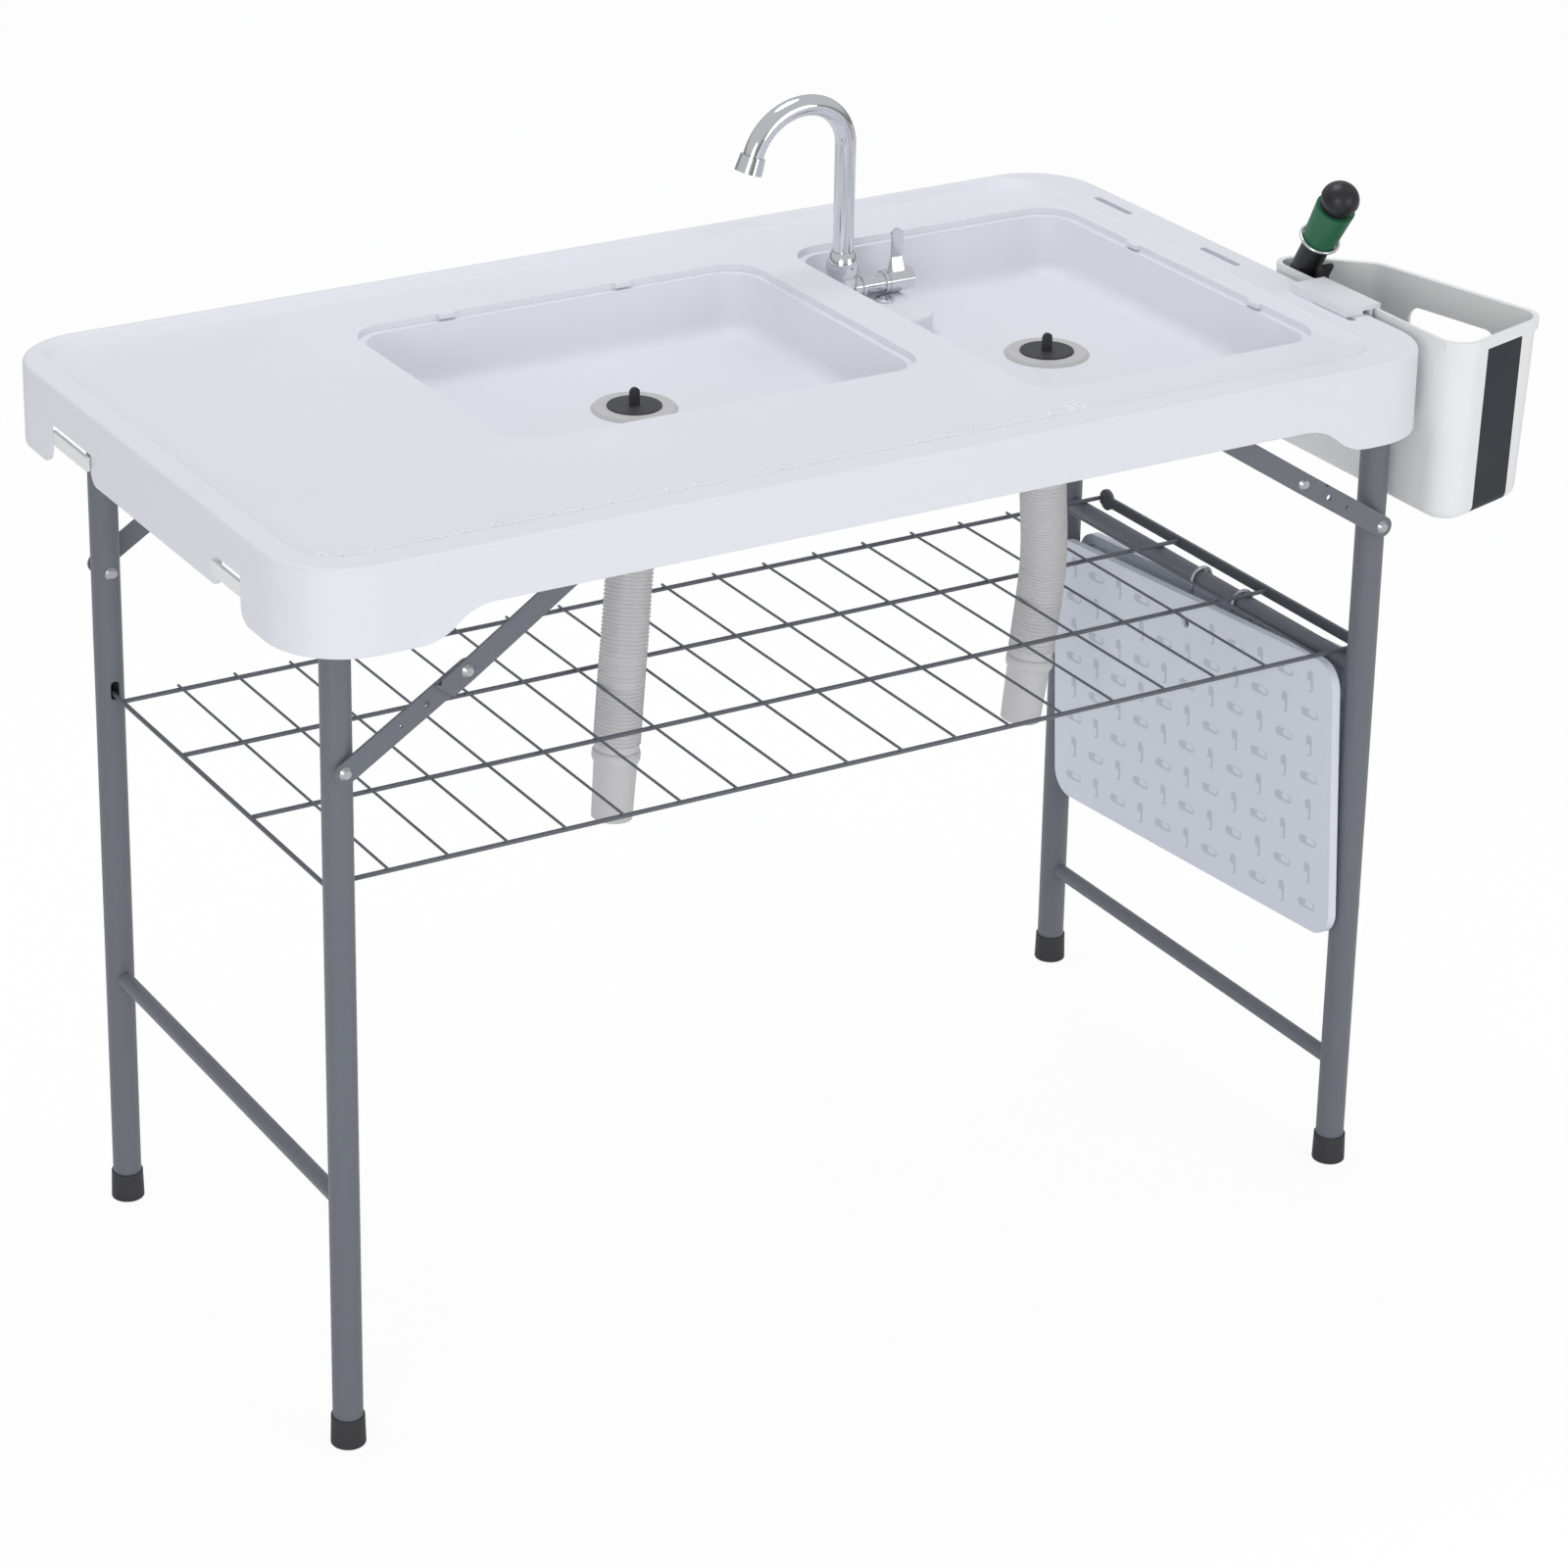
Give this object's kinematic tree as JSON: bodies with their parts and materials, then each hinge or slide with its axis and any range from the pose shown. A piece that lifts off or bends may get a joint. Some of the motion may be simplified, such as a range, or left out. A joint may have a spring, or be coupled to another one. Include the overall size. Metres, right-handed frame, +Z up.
{
  "type": "camping sink stand",
  "caption": "Folding camping sink stand: moulded top with basins, swivel faucet, drain hoses, braced tube legs, wire shelf, hanging covers and a side basket.",
  "frame": {"origin": "middle of the stand with its side basket, on the ground under the feet", "axes": "+X along the top towards the basket, +Y towards the faucet side, +Z up"},
  "size_m": [1.1795, 0.5903, 0.9438],
  "materials": {
    "grey_plastic": "moulded, satin",
    "white_plastic": "moulded",
    "pale_flange": "moulded",
    "black_rubber": "matt",
    "hose_plastic": "ribbed",
    "grey_tube": "powder coated",
    "zinc_steel": "zinc plated",
    "wire_coat": "coated wire",
    "cover_plastic": "moulded",
    "chrome": "plated",
    "dark_band": "soft band",
    "hook_plastic": "moulded",
    "green_plastic": "moulded",
    "black_plastic": "moulded"
  },
  "bodies": {
    "table": {"tabletop": "grey_plastic", "end_clips": "white_plastic", "drain_flanges": "pale_flange", "drain_nuts": "white_plastic", "leg_saddles": "grey_tube", "pivot_pins": "zinc_steel", "brace_brackets": "grey_tube", "faucet_body": "chrome", "faucet_nut": "chrome", "spout_collar": "chrome", "hose_grommet": "chrome", "left_hose": "hose_plastic", "right_hose": "hose_plastic", "left_hose_cuff": "hose_plastic", "right_hose_cuff": "hose_plastic"},
    "left_frame": {"left_front_leg": "grey_tube", "left_back_leg": "grey_tube", "left_feet": "black_rubber", "left_crossbar": "grey_tube", "left_leg_rivets": "zinc_steel"},
    "right_frame": {"right_front_leg": "grey_tube", "right_back_leg": "grey_tube", "right_feet": "black_rubber", "right_crossbar": "grey_tube", "shelf_crossbar": "grey_tube", "right_leg_rivets": "zinc_steel"},
    "left_lower_brace": {"left_lower_links": "grey_tube", "left_middle_rivets": "zinc_steel"},
    "left_upper_brace": {"left_upper_links": "grey_tube", "left_top_rivets": "zinc_steel"},
    "right_lower_brace": {"right_lower_links": "grey_tube", "right_middle_rivets": "zinc_steel"},
    "right_upper_brace": {"right_upper_links": "grey_tube", "right_top_rivets": "zinc_steel"},
    "shelf": {"shelf_long_wires": "wire_coat", "shelf_cross_wires": "wire_coat", "shelf_end_bar": "wire_coat"},
    "inner_cover": {"inner_cover": "cover_plastic", "inner_hook": "zinc_steel"},
    "outer_cover": {"outer_cover": "cover_plastic", "outer_hook": "zinc_steel"},
    "left_plug": {"left_plug": "black_rubber"},
    "right_plug": {"right_plug": "black_rubber"},
    "spout": {"spout": "chrome", "aerator": "chrome"},
    "faucet_lever": {"faucet_lever": "chrome"},
    "basket": {"basket_frame": "white_plastic", "basket_band": "dark_band", "basket_hook": "hook_plastic", "gun_grip": "black_plastic", "gun_coupling": "black_rubber", "gun_barrel": "green_plastic", "gun_cap": "black_plastic"},
    "gun_trigger": {"gun_trigger": "black_plastic"},
    "gun_lock_ring": {"gun_lock_ring": "chrome"}
  },
  "joints": [
    {"name": "leg_fold", "type": "hinge", "parent": "table", "child": "left_frame", "pos_m": [-0.52995, 0, 0.758], "axis": [0, -1, 0], "range_deg": [0, 81.5], "deforming": ["left_hose", "right_hose", "left_hose_cuff", "right_hose_cuff"]},
    {"name": "right_leg_fold", "type": "hinge", "parent": "table", "child": "right_frame", "pos_m": [0.45205, 0, 0.758], "axis": [0, 1, 0], "range_deg": [0, 45.7]},
    {"name": "left_lower_fold", "type": "hinge", "parent": "left_frame", "child": "left_lower_brace", "pos_m": [-0.52995, 0, 0.602], "axis": [0, 1, 0], "range_deg": [0, 196.97]},
    {"name": "left_upper_fold", "type": "hinge", "parent": "left_lower_brace", "child": "left_upper_brace", "pos_m": [-0.42595, 0, 0.6675], "axis": [0, -1, 0], "range_deg": [0, 147.04]},
    {"name": "right_lower_fold", "type": "hinge", "parent": "right_frame", "child": "right_lower_brace", "pos_m": [0.45205, 0, 0.619], "axis": [0, -1, 0], "range_deg": [0, 107.16]},
    {"name": "right_upper_fold", "type": "hinge", "parent": "right_lower_brace", "child": "right_upper_brace", "pos_m": [0.36365, 0, 0.6755], "axis": [0, 1, 0], "range_deg": [0, 110.8]},
    {"name": "shelf_lift", "type": "slide", "parent": "table", "child": "shelf", "axis": [0, 0, 1], "range_m": [0, 0.2051]},
    {"name": "inner_cover_swing", "type": "hinge", "parent": "right_frame", "child": "inner_cover", "pos_m": [0.45205, 0, 0.4798], "axis": [0, 1, 0], "range_deg": [0, 11.3]},
    {"name": "outer_cover_swing", "type": "hinge", "parent": "right_frame", "child": "outer_cover", "pos_m": [0.45205, 0, 0.4798], "axis": [0, -1, 0], "range_deg": [0, 10]},
    {"name": "left_plug_lift", "type": "slide", "parent": "table", "child": "left_plug", "axis": [0, 0, 1], "range_m": [0, 0.08]},
    {"name": "right_plug_lift", "type": "slide", "parent": "table", "child": "right_plug", "axis": [0, 0, 1], "range_m": [0, 0.08]},
    {"name": "spout_swivel", "type": "hinge", "parent": "table", "child": "spout", "pos_m": [0.15605, 0.162, 0.78], "axis": [0, 0, 1], "range_deg": [-160, 160]},
    {"name": "faucet_lever_turn", "type": "hinge", "parent": "table", "child": "faucet_lever", "pos_m": [0.22905, 0.162, 0.759], "axis": [1, 0, 0], "range_deg": [0, 90]},
    {"name": "basket_lift", "type": "slide", "parent": "table", "child": "basket", "axis": [0, 0, 1], "range_m": [0, 0.22]},
    {"name": "gun_trigger_pull", "type": "hinge", "parent": "basket", "child": "gun_trigger", "pos_m": [0.49005, -0.07768, 0.78503], "axis": [-1, 0, 0], "range_deg": [0, 5], "stiffness_Nm_per_rad": 0.6, "springref_deg": -5.73},
    {"name": "gun_ring_slide", "type": "slide", "parent": "basket", "child": "gun_lock_ring", "axis": [0, 0.5, -0.866], "range_m": [0, 0.008]}
  ],
  "couplings": [
    {"joint": "right_leg_fold", "follows": "leg_fold", "ratio": 0.56},
    {"joint": "left_lower_fold", "follows": "leg_fold", "ratio": 2.4156},
    {"joint": "left_upper_fold", "follows": "leg_fold", "ratio": 1.803},
    {"joint": "right_lower_fold", "follows": "leg_fold", "ratio": 1.3136},
    {"joint": "right_upper_fold", "follows": "leg_fold", "ratio": 1.3583},
    {"joint": "shelf_lift", "follows": "leg_fold", "m_per_rad": 0.14412}
  ]
}
